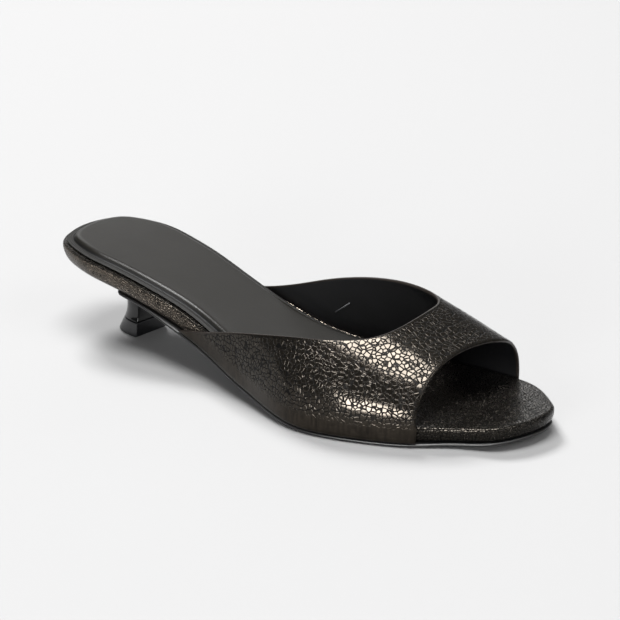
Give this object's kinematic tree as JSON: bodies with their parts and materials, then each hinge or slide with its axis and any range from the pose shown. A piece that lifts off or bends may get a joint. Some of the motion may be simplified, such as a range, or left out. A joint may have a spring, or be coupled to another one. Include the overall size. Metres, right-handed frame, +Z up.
{
  "type": "sandal",
  "caption": "Right-foot slip-on sandal with one broad vamp open at the toe, a padded insole, a thin outsole and a low waisted heel.",
  "frame": {"origin": "on the floor under the middle of the shoe's bounding box", "axes": "+X towards the toe, +Y towards the inner (medial) side of the foot, +Z up"},
  "size_m": [0.2494, 0.0908, 0.0465],
  "materials": {
    "sole_rubber": "satin",
    "crackle_wrap": "crackled metallic foil",
    "sock_leather": "smooth matt",
    "crackle_leather": "crackled metallic foil",
    "heel_lacquer": "glossy",
    "top_piece_rubber": "semi-gloss"
  },
  "bodies": {
    "root": {"outsole": "sole_rubber", "footbed": "crackle_wrap", "insole": "sock_leather", "upper": "crackle_leather", "heel": "heel_lacquer", "heel_tip": "top_piece_rubber"}
  },
  "joints": []
}
